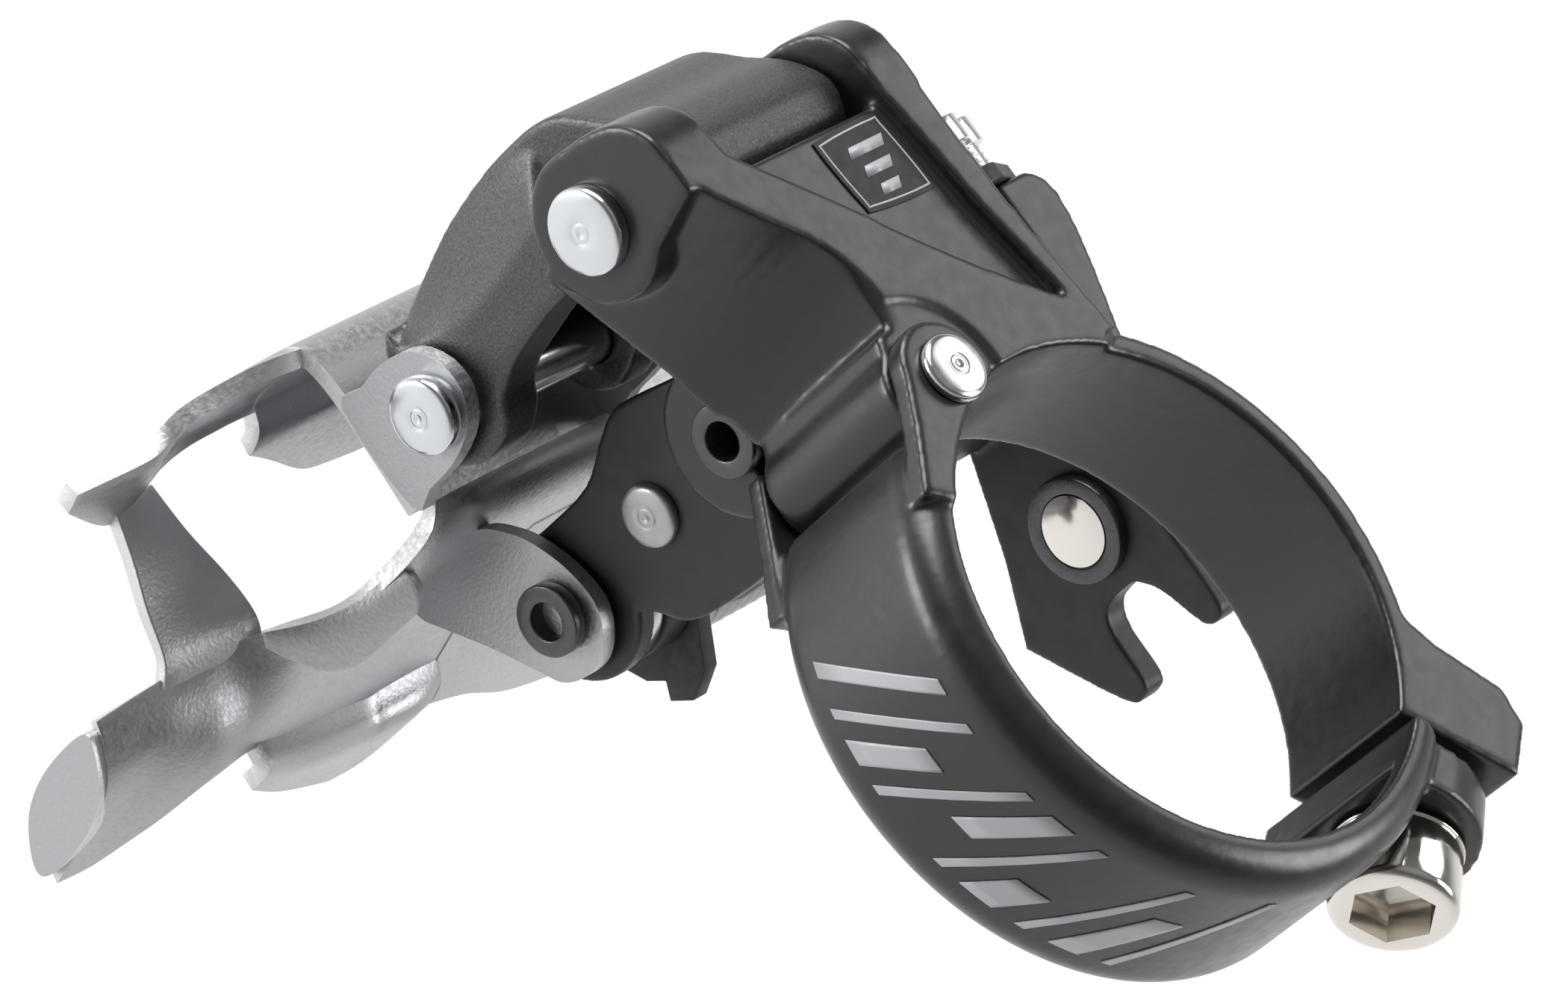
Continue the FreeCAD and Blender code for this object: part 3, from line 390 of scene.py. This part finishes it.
def cage_inner():
    """Inner plate: pressed nose, saddle flange, step, tail and the two ears of the inner pin."""
    bm = bmesh.new()
    slope = [(-34.4, -29.62), (-33.0, -30.0), (-31.9, -31.5), (-31.2, -34.0)]
    web = [(-31.2, -38.0), (-31.2, -42.0), (-30.6, -46.0), (-29.6, -50.0)]
    # The web, narrowing behind the nose bridge and widening into the nose.
    add_surface(bm, [
        (-12.0, slope + web + [(-28.9, -53.0)]),
        (-4.5, slope + web + [(-28.9, -53.0)]),
        (4.4, slope + web + [(-28.7, -54.0)]),
        (10.0, slope + [(-31.2, -37.6), (-31.2, -41.2), (-30.6, -45.0), (-29.6, -49.0), (-28.6, -52.6)]),
        (12.2, [(-32.1, -31.9), (-31.8, -32.8), (-31.5, -34.0), (-31.3, -35.6), (-31.2, -37.8),
                (-31.1, -41.0), (-30.5, -44.6), (-29.5, -48.4), (-28.6, -51.8)]),
        (14.2, [(-31.5, -38.2), (-31.4, -38.8), (-31.4, -39.6), (-31.3, -40.6), (-31.2, -41.8),
                (-30.9, -43.4), (-30.3, -45.6), (-29.4, -48.2), (-28.6, -51.0)]),
        (16.6, [(-33.0, -42.4), (-32.6, -42.8), (-32.1, -43.3), (-31.7, -43.8), (-31.2, -44.4),
                (-30.7, -45.2), (-30.0, -46.4), (-29.3, -48.1), (-28.6, -50.1)]),
        (19.2, [(-34.2, -44.8), (-33.5, -45.0), (-32.8, -45.3), (-32.1, -45.6), (-31.4, -46.0),
                (-30.7, -46.6), (-30.0, -47.3), (-29.3, -48.2), (-28.6, -49.4)]),
        (22.0, [(-34.4, -45.9), (-33.6, -46.0), (-32.8, -46.2), (-32.0, -46.5), (-31.2, -46.9),
                (-30.4, -47.4), (-29.7, -48.1), (-29.0, -49.0), (-28.3, -50.3)]),
        (24.8, [(-34.4, -46.7), (-33.5, -46.9), (-32.6, -47.2), (-31.7, -47.7), (-30.9, -48.4),
                (-30.1, -49.4), (-29.4, -50.6), (-28.8, -52.1), (-28.2, -54.2)]),
        (27.0, [(-34.4, -47.6), (-33.4, -47.9), (-32.4, -48.5), (-31.5, -49.3), (-30.8, -50.4),
                (-30.2, -51.8), (-29.6, -53.6), (-29.0, -55.8), (-28.5, -58.4)]),
        (29.0, [(-34.4, -48.6), (-33.4, -49.0), (-32.4, -49.7), (-31.5, -50.6), (-30.8, -51.8),
                (-30.2, -53.4), (-29.7, -55.4), (-29.3, -57.8), (-28.9, -60.2)]),
    ], along=6, across=3)
    # The rolled flange by the saddle.
    add_surface(bm, [
        (12.3, [(-31.5, -34.8), (-30.6, -34.3), (-29.5, -34.6), (-28.7, -35.6)]),
        (13.2, [(-31.3, -36.6), (-30.4, -36.3), (-29.4, -36.9), (-28.6, -38.2)]),
        (14.2, [(-31.4, -38.6), (-30.5, -38.5), (-29.5, -39.3), (-28.6, -41.0)]),
        (15.4, [(-32.0, -40.6), (-31.2, -40.7), (-30.3, -41.4), (-29.5, -42.6)]),
        (16.4, [(-32.7, -42.0), (-32.2, -42.1), (-31.6, -42.5), (-31.0, -43.2)]),
        (17.4, [(-33.5, -43.2), (-33.3, -43.3), (-33.0, -43.5), (-32.7, -43.7)]),
    ], along=5, across=4)
    # The step under the web.
    add_surface(bm, [
        (-3.6, [(-28.8, -53.4), (-28.2, -53.9), (-27.6, -54.4), (-27.2, -54.9), (-27.0, -55.4)]),
        (-0.9, [(-28.8, -53.4), (-27.8, -53.9), (-26.6, -54.6), (-26.6, -57.6), (-26.6, -60.8)]),
        (2.0, [(-28.8, -53.6), (-27.8, -54.1), (-26.6, -54.8), (-26.6, -58.4), (-26.6, -62.0)]),
        (4.4, [(-28.8, -53.6), (-27.8, -54.2), (-26.6, -55.0), (-26.6, -58.0), (-26.6, -61.0)]),
        (12.2, [(-28.7, -51.4), (-27.8, -51.8), (-26.6, -52.4), (-26.6, -54.2), (-26.6, -56.2)]),
        (18.2, [(-28.7, -49.4), (-27.9, -49.5), (-27.0, -49.7), (-26.8, -50.6), (-26.8, -51.8)]),
    ], along=5, across=3)
    # The tail.
    add_surface(bm, [
        (-3.4, [(-31.1, -38.2), (-31.1, -42.0), (-30.5, -46.0), (-29.5, -50.0), (-28.6, -54.0),
                (-27.5, -58.0)]),
        (-11.0, [(-31.1, -38.2), (-31.1, -42.0), (-30.5, -46.0), (-29.5, -50.0), (-28.5, -55.0),
                 (-27.2, -60.8)]),
        (-20.9, [(-31.1, -38.8), (-30.8, -43.0), (-30.0, -48.0), (-28.8, -54.0), (-27.8, -61.0),
                 (-27.2, -67.4)]),
        (-29.0, [(-30.6, -42.6), (-30.0, -47.0), (-28.9, -52.6), (-27.8, -59.0), (-27.4, -65.6),
                 (-27.2, -71.2)]),
        (-40.0, [(-28.0, -50.8), (-27.7, -54.0), (-27.4, -58.4), (-27.2, -63.0), (-27.2, -68.8),
                 (-27.2, -74.8)]),
        (-52.0, [(-27.2, -58.8), (-27.2, -62.0), (-27.2, -66.0), (-27.2, -70.0), (-27.2, -74.2),
                 (-27.2, -78.4)]),
        (-64.0, [(-27.2, -68.2), (-27.2, -71.0), (-27.2, -73.6), (-27.2, -76.0), (-27.2, -78.4),
                 (-27.2, -80.6)]),
        (-69.4, [(-27.2, -73.4), (-27.2, -74.2), (-27.2, -75.0), (-27.2, -75.8), (-27.2, -76.4),
                 (-27.2, -77.0)]),
    ], along=5, across=3)
    ear = [(-31.2, -41.2), (-31.2, -36.4), (-30.9, -32.6), (-29.3, -30.4), (-27.6, -29.1), (-25.0, -28.0),
           (-22.3, -27.7), (-20.4, -28.7), (-19.2, -30.4), (-19.1, -32.4), (-19.8, -34.2), (-21.4, -35.4),
           (-24.6, -37.7), (-27.7, -40.3), (-29.2, -41.4)]
    add_plate(bm, ear, 0, INNER_EARS_X[0])
    ear = [(-31.0, -41.4), (-31.0, -36.2), (-26.6, -29.4), (-23.2, -26.9), (-20.0, -28.6),
           (-19.2, -31.6), (-20.6, -34.6), (-26.0, -41.4)]
    add_plate(bm, ear, 0, INNER_EARS_X[1])
    lip = [(-34.3, -50.6), (-34.0, -54.6), (-32.8, -57.8), (-30.6, -60.0), (-29.2, -60.2),
           (-28.8, -58.0), (-29.2, -54.4), (-30.3, -51.6), (-32.0, -49.8), (-33.8, -48.9)]
    add_plate(bm, lip, 0, NOSE_END_X)
    sheet_piece("cage_inner_sheet", bm, PLATE_THICKNESS, "cage_inner_plate")


def cage_bridge():
    """Folded sheet that joins the two plates at the nose."""
    bm = bmesh.new()
    rows = (
        ((20.0, -45.1, -41.6), (23.8, -45.1, -41.6)),
        ((18.9, -41.6, -42.5), (24.0, -41.6, -42.8)),
        ((17.6, -38.4, -43.2), (24.3, -38.4, -44.1)),
        ((17.2, -35.6, -43.3), (24.4, -35.4, -45.2)),
        ((17.1, -34.2, -43.7), (24.6, -34.2, -46.3)),
        ((17.2, -33.3, -44.5), (24.6, -33.4, -47.3)),
    )
    rear = curve([row[0] for row in rows], 4)
    front = curve([row[1] for row in rows], 4)
    columns = 6
    grid = []
    for a, b in zip(rear, front):
        grid.append([bm.verts.new(Vector(a).lerp(Vector(b), k / columns) * MM) for k in range(columns + 1)])
    for low, high in zip(grid, grid[1:]):
        for k in range(columns):
            bm.faces.new((low[k], low[k + 1], high[k + 1], high[k]))
    sheet_piece("cage_bridge_sheet", bm, BRIDGE_THICKNESS, "cage_nose_bridge")


# Turned parts, springs and prints ---------------------------------------------------

# (y, z) of the pins along x, and (x, y) of the pin along z, in millimetres.
BODY_OUTER_PIVOT = (-38.1, -1.6)
CAGE_OUTER_PIVOT = (-37.0, -22.8)
CAGE_INNER_PIVOT = (-23.2, -31.0)
LINK_RIVET = (-24.3, -20.8)
CLAMP_HINGE = (7.2, -18.3)


def mesh_piece(name, bm, body, node, key):
    """Finish a closed mesh; node is the CAD node that it replaces, or None."""
    mesh = bpy.data.meshes.new(name)
    bmesh.ops.recalc_face_normals(bm, faces=bm.faces)
    bm.to_mesh(mesh)
    bm.free()
    shade_smooth(mesh)
    piece = link(bpy.data.objects.new(name, mesh))
    mesh.materials.append(MATS[key])
    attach(piece, body)
    if node:
        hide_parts(node)
    return piece


def add_lathe(bm, axis, centre, profile, sides=56):
    """Closed turned shape: (radius, along) profile round an axis, in millimetres."""
    rings = []
    for radius, along in profile:
        count = sides if radius else 1
        angles = [2 * math.pi * k / count for k in range(count)]
        rings.append([bm.verts.new(turned(axis, centre, radius, a, along)) for a in angles])
    for low, high in zip(rings, rings[1:]):
        for k in range(sides):
            corners = [low[k % len(low)], low[(k + 1) % len(low)]]
            corners += [high[(k + 1) % len(high)], high[k % len(high)]]
            face = list(dict.fromkeys(corners))
            if len(face) > 2:
                bm.faces.new(face)


def turned(axis, centre, radius, angle, along):
    """Point in metres at that radius and angle round an axis through centre."""
    u = centre[0] + radius * math.cos(angle)
    v = centre[1] + radius * math.sin(angle)
    place = {"x": (along, u, v), "y": (u, along, v), "z": (u, v, along)}[axis]
    return Vector(place) * MM


def headed_pin(name, node, key, axis, centre, start, shoulder, end, shaft_r, head_r):
    """Riveted pin with a slightly domed head, a soft rim and a small centre mark."""
    crown = end - 0.12
    shaft = [(0, start), (shaft_r - 0.2, start), (shaft_r, start + 0.2), (shaft_r, shoulder)]
    rim = [(head_r - 0.05, shoulder), (head_r, shoulder + 0.08), (head_r, crown - 0.35),
           (head_r - 0.06, crown - 0.16), (head_r - 0.20, crown - 0.03), (head_r - 0.42, crown + 0.03)]
    face = [(head_r * 0.5, end - 0.02), (0.78, end), (0.72, end - 0.03), (0.62, end - 0.03), (0.56, end),
            (0.30, end), (0.20, end - 0.06), (0, end - 0.07)]
    bm = bmesh.new()
    add_lathe(bm, axis, centre, shaft + rim + face)
    weight_normals(mesh_piece(name, bm, node_body[node], node, key))


def coil_spring():
    """Return spring: one helix with plain ends, round the lower inner pivot."""
    bm = bmesh.new()
    centre, radius, wire = CAGE_INNER_PIVOT, 4.75, 0.55
    first, last, turns, start_angle = -13.2, -3.0, 8.25, -0.5
    steps, sides = 32, 10
    total = int(turns * steps)
    path = []
    for i in range(total + 1):
        angle = 2 * math.pi * i / steps + start_angle
        x = first + (last - first) * i / total
        path.append(turned("x", centre, radius, angle, x))
    rings = []
    for i, point in enumerate(path):
        tangent = (path[min(i + 1, total)] - path[max(i - 1, 0)]).normalized()
        outward = (point - Vector((point.x, centre[0] * MM, centre[1] * MM))).normalized()
        side = tangent.cross(outward)
        angles = [2 * math.pi * k / sides for k in range(sides)]
        section = [outward * math.cos(a) + side * math.sin(a) for a in angles]
        rings.append([bm.verts.new(point + direction * wire * MM) for direction in section])
    for low, high in zip(rings, rings[1:]):
        for k in range(sides):
            bm.faces.new((low[k], low[(k + 1) % sides], high[(k + 1) % sides], high[k]))
    bm.faces.new(rings[0])
    bm.faces.new(rings[-1])
    mesh_piece("spring_coil", bm, "inner_link", "return_spring", "spring_steel")


def band_print():
    """Generic slanted grey bars printed on the outside of the band."""
    bm = bmesh.new()
    radius, lift = 20.3, 0.09
    slant = 1.9  # degrees per millimetre of height
    across, up = 8, 4
    # Each bar: first angle and width in degrees, lower and upper end in millimetres.
    bars = ((-17, 3.2, -4.6, 4.4), (-8, 2.0, -4.6, 4.4), (-2, 5.0, -4.6, 0.6), (7, 2.0, -4.6, 4.4),
            (13, 5.0, -1.2, 4.4), (23, 2.0, -4.6, 4.4), (29, 7.0, -4.6, -1.4), (41, 2.0, -4.6, 4.4),
            (48, 6.0, -4.6, 1.0), (59, 2.0, -4.6, 4.4))
    for start, width, low, high in bars:
        grid = []
        for j in range(up + 1):
            z = low + (high - low) * j / up
            angles = [math.radians(start + width * i / across + slant * z) for i in range(across + 1)]
            grid.append([[bm.verts.new(turned("z", (0, 0), r, a, z)) for r in (radius, radius + lift)]
                         for a in angles])
        for level in (0, 1):
            for lower, upper in zip(grid, grid[1:]):
                for i in range(across):
                    corners = (lower[i], lower[i + 1], upper[i + 1], upper[i])
                    bm.faces.new([corner[level] for corner in corners])
        rim = grid[0] + [row[across] for row in grid[1:]]
        rim += grid[up][-2::-1] + [row[0] for row in grid[-2:0:-1]]
        for a, b in zip(rim, rim[1:] + rim[:1]):
            bm.faces.new((a[0], b[0], b[1], a[1]))
    mesh_piece("band_print", bm, "band", "band_decal", "label_ink")


def flat_print(bm, outline, low, high):
    """Thin flat patch with that (x, y) outline, from one height to another."""
    bottom = [bm.verts.new(Vector((x, y, low)) * MM) for x, y in outline]
    top = [bm.verts.new(Vector((x, y, high)) * MM) for x, y in outline]
    bm.faces.new(bottom[::-1])
    bm.faces.new(top)
    for i in range(len(outline)):
        j = (i + 1) % len(outline)
        bm.faces.new((bottom[i], bottom[j], top[j], top[i]))


def flat_ring(bm, outside, inside, low, high):
    """Thin flat band between two (x, y) outlines with as many points each."""
    loops = []
    for points in (outside, inside):
        for z in (low, high):
            loops.append([bm.verts.new(Vector((x, y, z)) * MM) for x, y in points])
    outer_low, outer_high, inner_low, inner_high = loops
    around = (outer_low, outer_high, inner_high, inner_low)
    for a, b in zip(around, around[1:] + around[:1]):
        for i in range(len(a)):
            j = (i + 1) % len(a)
            bm.faces.new((a[i], a[j], b[j], b[i]))


def top_label():
    """Dark rounded label with a thin border and three generic bars."""
    outline = [(-3.8, -35.4), (1.5, -35.3), (2.2, -34.6), (1.7, -30.4), (1.0, -29.7), (-4.2, -29.4),
               (-4.9, -30.1), (-4.4, -34.8)]
    plate_low, ink_low, plate_high, border_high, bar_high = 5.28, 5.40, 5.43, 5.45, 5.46
    bm = bmesh.new()
    flat_print(bm, curve(outline, 5, closed=True), plate_low, plate_high)
    weight_normals(mesh_piece("label_plate", bm, "body", "top_label", "label_base"))
    bm = bmesh.new()
    bar_height, bar_lean = 0.75, 0.4
    for k, length in enumerate((3.4, 2.6, 1.8)):
        x, y = -3.6 + 0.5 * k, -34.0 + 1.45 * k
        top_x, top_y = x + bar_lean, y + bar_height
        bar = [(x, y), (x + length, y), (top_x + length, top_y), (top_x, top_y)]
        flat_print(bm, bar, ink_low, bar_high)
    border = curve([(-3.6, -35.1), (1.3, -35.0), (1.9, -34.4), (1.45, -30.5), (0.9, -30.0), (-4.0, -29.7),
                    (-4.6, -30.3), (-4.1, -34.6)], 5, closed=True)
    centre_x, centre_y, shrink = -1.3, -32.4, 0.955
    inside = [(centre_x + (x - centre_x) * shrink, centre_y + (y - centre_y) * shrink) for x, y in border]
    flat_ring(bm, border, inside, ink_low, border_high)
    mesh_piece("label_mark", bm, "body", None, "label_ink")


def screw_thread(name, body, x, z):
    """Ridges for the thread showing between a limit screw's head and its plate."""
    bm = bmesh.new()
    start, pitch, ridges = -31.6, 0.5, 4
    root, crest = 1.2, 1.52
    profile = [(0, start), (root, start)]
    for k in range(ridges):
        y = start + pitch * k
        profile += [(root, y + 0.05), (crest, y + 0.24), (crest, y + 0.32), (root, y + pitch)]
    profile.append((0, start + pitch * ridges))
    add_lathe(bm, "y", (x, z), profile, 32)
    mesh_piece(name, bm, body, None, "zinc_pin")


# The object ------------------------------------------------------------------------

softened("body_bracket", "black_paint", 0.24, 14)
softened("clamp_band", "black_paint", 0.22, 10)
softened("outer_link", "grey_cast", 0.24, 14)
softened("inner_link_plate", "link_paint", 0.18, 4)
softened("cable_arm", "link_paint", 0.20, 5)
cage_outer()
cage_inner()
cage_bridge()
for pin in (
    ("pin_outer_link", "outer_link_pin", "zinc_pin", "x", BODY_OUTER_PIVOT, -11.9, 15.2, 16.4, 2.0, 2.84),
    ("pin_cage", "cage_outer_pin", "zinc_pin", "x", CAGE_OUTER_PIVOT, -7.4, 14.3, 15.5, 1.9, 2.6),
    ("pin_clamp_hinge", "clamp_hinge_pin", "zinc_pin", "z", CLAMP_HINGE, -9.4, 8.15, 9.0, 1.5, 2.3),
    ("rivet_inner_link", "inner_link_rivet", "dull_zinc", "x", LINK_RIVET, -16.7, 5.2, 6.0, 1.5, 2.14),
):
    headed_pin(*pin)
coil_spring()
band_print()
top_label()
screw_thread("thread_low", "limit_low", -10.7, 2.6)
screw_thread("thread_high", "limit_high", -14.5, 0.2)
for plain, key in (
    ("inner_link_pin", "dark_steel"), ("cage_inner_pin", "dark_steel"),
    ("inner_link_barrel", "dark_steel"), ("inner_link_stay", "dark_steel"), ("clamp_bolt", "nickel"),
    ("clamp_bolt_washer", "nickel"), ("cable_bolt", "nickel"), ("cable_washer", "nickel"),
    ("cable_nut", "dark_steel"), ("spring_sleeve", "dark_steel"), ("spring_washer", "zinc_pin"),
    ("spring_collar", "black_plastic"), ("spring_hook", "black_plastic"),
    ("limit_screw_low", "zinc_pin"), ("limit_screw_high", "zinc_pin"),
    ("limit_screw_plate", "black_plastic"), ("cage_tail_spacer", "cage_steel"),
    ("cage_tail_screw", "nickel"),
):
    crisp(plain, key)


# Studio ------------------------------------------------------------------------------

FLOOR_GREY, FLOOR_GLOW = 0.26, 0.78
FLOOR_REACH, FLOOR_HEIGHT = 6.0, -0.30


def floor():
    """Pale floor that glows a little, so that it stays pale in every view."""
    mat = new_material("studio_floor", (FLOOR_GREY, FLOOR_GREY, FLOOR_GREY), 0.0, 0.9)
    shader = mat.node_tree.nodes[SHADER]
    shader.inputs["Emission Color"].default_value = (1.0, 1.0, 1.0, 1.0)
    shader.inputs["Emission Strength"].default_value = FLOOR_GLOW
    mesh = bpy.data.meshes.new("floor")
    corners = [(-FLOOR_REACH, -FLOOR_REACH), (FLOOR_REACH, -FLOOR_REACH),
               (FLOOR_REACH, FLOOR_REACH), (-FLOOR_REACH, FLOOR_REACH)]
    mesh.from_pydata([(x, y, FLOOR_HEIGHT) for x, y in corners], [], [(0, 1, 2, 3)])
    obj = link(bpy.data.objects.new("floor", mesh))
    obj.data.materials.append(mat)


def area_light(name, place, target, size, power):
    """Square soft light of that size in metres and power in watts, turned to its target."""
    data = bpy.data.lights.new(name, "AREA")
    data.size = size
    data.energy = power
    obj = link(bpy.data.objects.new(name, data))
    obj.location = place
    obj.rotation_euler = (target - place).to_track_quat("-Z", "Y").to_euler()


IMAGE_WIDTH, FOCAL_LENGTH = 2100, 9560
SENSOR_WIDTH = 36.0
CAMERA_DROP = 0.0006
CAMERA_PLACE = Vector((0.329742, 0.030736, 0.286960))
CAMERA_RIGHT = Vector((-0.599051, 0.576633, 0.555546))
CAMERA_UP = Vector((-0.323269, -0.808929, 0.491051))


def camera():
    """Camera at the fitted viewing angle; the focal length is in widths of one pixel."""
    data = bpy.data.cameras.new("camera")
    data.sensor_width = SENSOR_WIDTH
    data.lens = SENSOR_WIDTH * FOCAL_LENGTH / IMAGE_WIDTH
    data.clip_start = 0.01
    data.clip_end = 20
    obj = link(bpy.data.objects.new("camera", data))
    right = CAMERA_RIGHT.normalized()
    back = right.cross(CAMERA_UP).normalized()
    up = back.cross(right)
    turn = Matrix((right, up, back)).transposed()
    place = CAMERA_PLACE - up * CAMERA_DROP
    obj.matrix_world = Matrix.Translation(place) @ turn.to_4x4()
    bpy.context.scene.camera = obj
    return right, up, back


def world():
    """Grey sky graded by height, for the reflections."""
    env = bpy.data.worlds.new("studio")
    env.use_nodes = True
    tree = env.node_tree
    coords = tree.nodes.new("ShaderNodeTexCoord")
    split = tree.nodes.new("ShaderNodeSeparateXYZ")
    half = tree.nodes.new("ShaderNodeMath")
    half.operation = "MULTIPLY_ADD"
    half.inputs[1].default_value = 0.5
    half.inputs[2].default_value = 0.5
    ramp = tree.nodes.new("ShaderNodeValToRGB")
    stops = ((0.0, 0.95), (0.50, 0.75), (0.64, 0.22), (0.85, 0.10), (1.0, 0.30))
    for at, level in stops[1:-1]:
        ramp.color_ramp.elements.new(at)
    for element, (at, level) in zip(ramp.color_ramp.elements, stops):
        element.position = at
        element.color = (level, level, level, 1)
    tree.links.new(coords.outputs["Generated"], split.inputs["Vector"])
    tree.links.new(split.outputs["Z"], half.inputs[0])
    tree.links.new(half.outputs[0], ramp.inputs["Fac"])
    tree.links.new(ramp.outputs["Color"], tree.nodes["Background"].inputs["Color"])
    bpy.context.scene.world = env


floor()
world()
right, up, back = camera()
middle = Vector((0, -0.02, -0.02))
area_light("key", middle + back * 0.20 + up * 0.62 - right * 0.10, middle, 0.45, 5.5)
area_light("back", middle + Vector((-0.60, -0.06, 0.52)), middle, 0.40, 1.3)
area_light("left", middle - right * 0.62 + back * 0.12 + up * 0.12, middle, 0.30, 2.6)
area_light("right", middle + right * 0.62 + back * 0.05, middle, 0.30, 2.2)
bpy.context.scene.view_settings.view_transform = "Standard"
